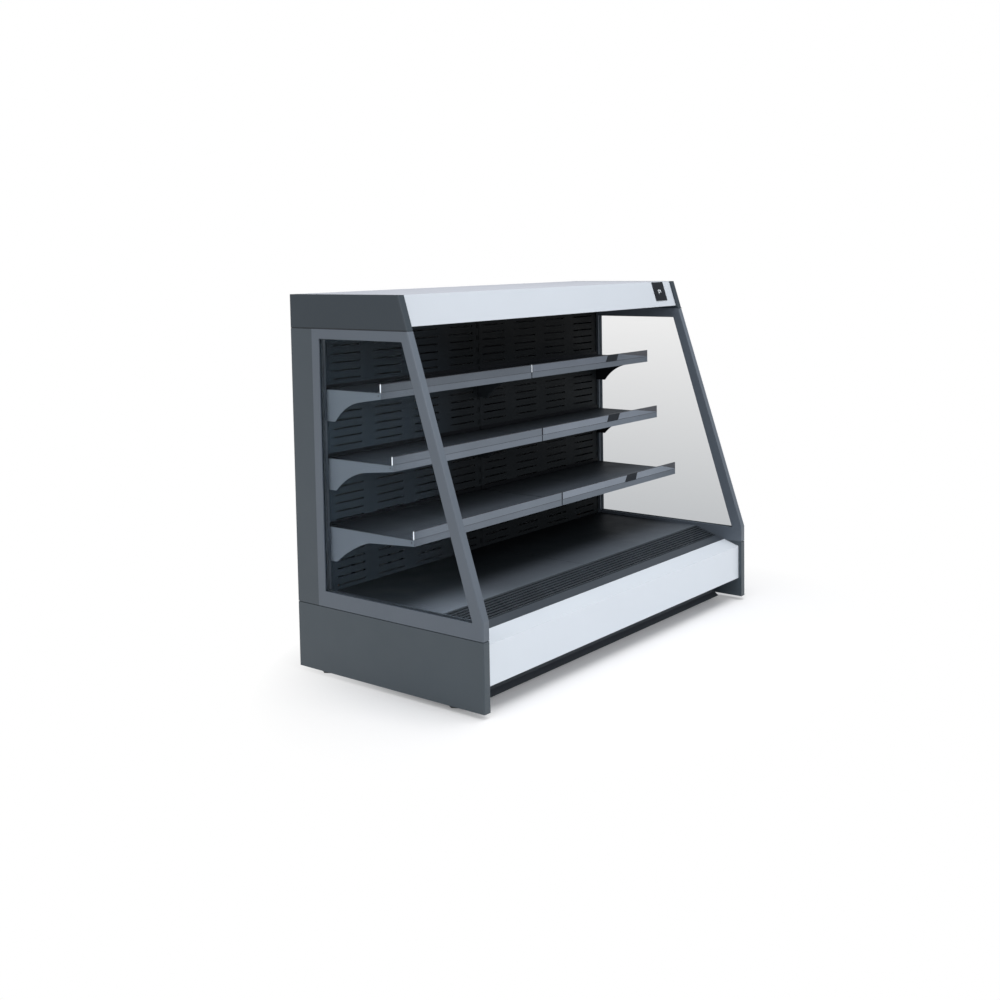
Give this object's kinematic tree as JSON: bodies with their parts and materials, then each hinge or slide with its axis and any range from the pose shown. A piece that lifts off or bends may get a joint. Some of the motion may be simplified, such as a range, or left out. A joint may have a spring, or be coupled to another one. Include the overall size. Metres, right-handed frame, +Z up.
{
  "type": "open multideck display fridge",
  "caption": "Open-front chilled display case with slanted glazed ends, hung shelves, a perforated back wall, a ribbed air intake, and its refrigerating unit in the base.",
  "frame": {"origin": "on the floor under the middle of the case's width and depth", "axes": "+X to the right along the front, +Y towards the back, +Z up"},
  "size_m": [1.875, 0.918, 1.448],
  "materials": {
    "dark_panel": "satin",
    "cap_panel": "satin",
    "foam_panel": "satin",
    "white_paint": "satin",
    "dark_paint": "satin",
    "grey_paint": "satin",
    "galvanised_steel": "satin",
    "clear_glass": "polished",
    "seal_rubber": "matt",
    "price_strip": "gloss",
    "black_plastic": "matt",
    "lamp_plastic": "satin",
    "fin_aluminium": "satin",
    "shell_steel": "gloss",
    "copper": "polished",
    "switch_plastic": "gloss"
  },
  "bodies": {
    "case": {"base_panel_left": "dark_panel", "base_panel_right": "dark_panel", "side_frame_left": "dark_panel", "side_frame_right": "dark_panel", "rear_pillar_left": "cap_panel", "rear_pillar_right": "cap_panel", "canopy_end_cap_left": "cap_panel", "canopy_end_cap_right": "cap_panel", "insulated_tub": "foam_panel", "insulated_back": "foam_panel", "canopy_top": "foam_panel", "canopy_fascia": "white_paint", "front_panel": "white_paint", "back_panel_left": "dark_paint", "back_panel_right": "dark_paint", "shelf_uprights": "dark_paint", "shelf_brackets": "grey_paint", "canopy_liner": "dark_paint", "kick_rail": "dark_paint", "front_rail": "grey_paint", "deck_support": "galvanised_steel", "fan_plate": "galvanised_steel", "base_frame": "galvanised_steel", "rear_louvre_panel": "galvanised_steel", "condenser_fan_housing": "galvanised_steel", "drip_tray": "black_plastic", "air_honeycomb": "black_plastic", "side_glass_left": "clear_glass", "side_glass_right": "clear_glass", "glass_seals": "seal_rubber", "canopy_lamp": "lamp_plastic", "display_plate": "black_plastic", "evaporator": "fin_aluminium", "condenser": "fin_aluminium", "compressor": "shell_steel", "refrigerant_pipes": "copper", "electrical_box": "black_plastic"},
    "evaporator_fan_left": {"evaporator_fan_left": "black_plastic"},
    "evaporator_fan_right": {"evaporator_fan_right": "black_plastic"},
    "condenser_fan": {"condenser_fan": "black_plastic"},
    "power_switch": {"power_switch": "switch_plastic"},
    "shelf_upper_left": {"shelf_tray_upper_left": "dark_paint", "price_rail_upper_left": "price_strip"},
    "shelf_upper_right": {"shelf_tray_upper_right": "dark_paint", "price_rail_upper_right": "price_strip"},
    "shelf_middle_left": {"shelf_tray_middle_left": "dark_paint", "price_rail_middle_left": "price_strip"},
    "shelf_middle_right": {"shelf_tray_middle_right": "dark_paint", "price_rail_middle_right": "price_strip"},
    "shelf_lower_left": {"shelf_tray_lower_left": "dark_paint", "price_rail_lower_left": "price_strip"},
    "shelf_lower_right": {"shelf_tray_lower_right": "dark_paint", "price_rail_lower_right": "price_strip"},
    "deck_pan_left": {"deck_pan_left": "dark_paint"},
    "deck_pan_right": {"deck_pan_right": "dark_paint"},
    "intake_grille": {"intake_grille": "black_plastic"},
    "levelling_foot_front_left": {"levelling_foot_front_left": "black_plastic"},
    "levelling_foot_front_right": {"levelling_foot_front_right": "black_plastic"},
    "levelling_foot_rear_left": {"levelling_foot_rear_left": "black_plastic"},
    "levelling_foot_rear_right": {"levelling_foot_rear_right": "black_plastic"}
  },
  "joints": [
    {"name": "evaporator_fan_left_spin", "type": "hinge", "parent": "case", "child": "evaporator_fan_left", "pos_m": [-0.45, 0.3546, 0.2465], "axis": [0, 0.7165, 0.6975], "continuous": true},
    {"name": "evaporator_fan_right_spin", "type": "hinge", "parent": "case", "child": "evaporator_fan_right", "pos_m": [0.45, 0.3546, 0.2465], "axis": [0, 0.7165, 0.6975], "continuous": true},
    {"name": "condenser_fan_spin", "type": "hinge", "parent": "case", "child": "condenser_fan", "pos_m": [-0.35, -0.103, 0.1018], "axis": [0, 1, 0], "continuous": true},
    {"name": "power_switch_rock", "type": "hinge", "parent": "case", "child": "power_switch", "pos_m": [0.64, 0.431, 0.092], "axis": [-1, 0, 0], "range_deg": [0, 16]},
    {"name": "shelf_upper_left_lift", "type": "slide", "parent": "case", "child": "shelf_upper_left", "axis": [0, 0, 1], "range_m": [0, 0.06]},
    {"name": "shelf_upper_right_lift", "type": "slide", "parent": "case", "child": "shelf_upper_right", "axis": [0, 0, 1], "range_m": [0, 0.06]},
    {"name": "shelf_middle_left_lift", "type": "slide", "parent": "case", "child": "shelf_middle_left", "axis": [0, 0, 1], "range_m": [0, 0.06]},
    {"name": "shelf_middle_right_lift", "type": "slide", "parent": "case", "child": "shelf_middle_right", "axis": [0, 0, 1], "range_m": [0, 0.06]},
    {"name": "shelf_lower_left_lift", "type": "slide", "parent": "case", "child": "shelf_lower_left", "axis": [0, 0, 1], "range_m": [0, 0.06]},
    {"name": "shelf_lower_right_lift", "type": "slide", "parent": "case", "child": "shelf_lower_right", "axis": [0, 0, 1], "range_m": [0, 0.06]},
    {"name": "deck_pan_left_lift", "type": "slide", "parent": "case", "child": "deck_pan_left", "axis": [0, 0, 1], "range_m": [0, 0.06]},
    {"name": "deck_pan_right_lift", "type": "slide", "parent": "case", "child": "deck_pan_right", "axis": [0, 0, 1], "range_m": [0, 0.06]},
    {"name": "intake_grille_lift", "type": "slide", "parent": "case", "child": "intake_grille", "axis": [0, 0, 1], "range_m": [0, 0.06]},
    {"name": "levelling_foot_front_left_turn", "type": "hinge", "parent": "case", "child": "levelling_foot_front_left", "pos_m": [-0.8902, -0.287, 0], "axis": [0, 0, 1], "continuous": true},
    {"name": "levelling_foot_front_right_turn", "type": "hinge", "parent": "case", "child": "levelling_foot_front_right", "pos_m": [0.8902, -0.287, 0], "axis": [0, 0, 1], "continuous": true},
    {"name": "levelling_foot_rear_left_turn", "type": "hinge", "parent": "case", "child": "levelling_foot_rear_left", "pos_m": [-0.8902, 0.353, 0], "axis": [0, 0, 1], "continuous": true},
    {"name": "levelling_foot_rear_right_turn", "type": "hinge", "parent": "case", "child": "levelling_foot_rear_right", "pos_m": [0.8902, 0.353, 0], "axis": [0, 0, 1], "continuous": true}
  ]
}
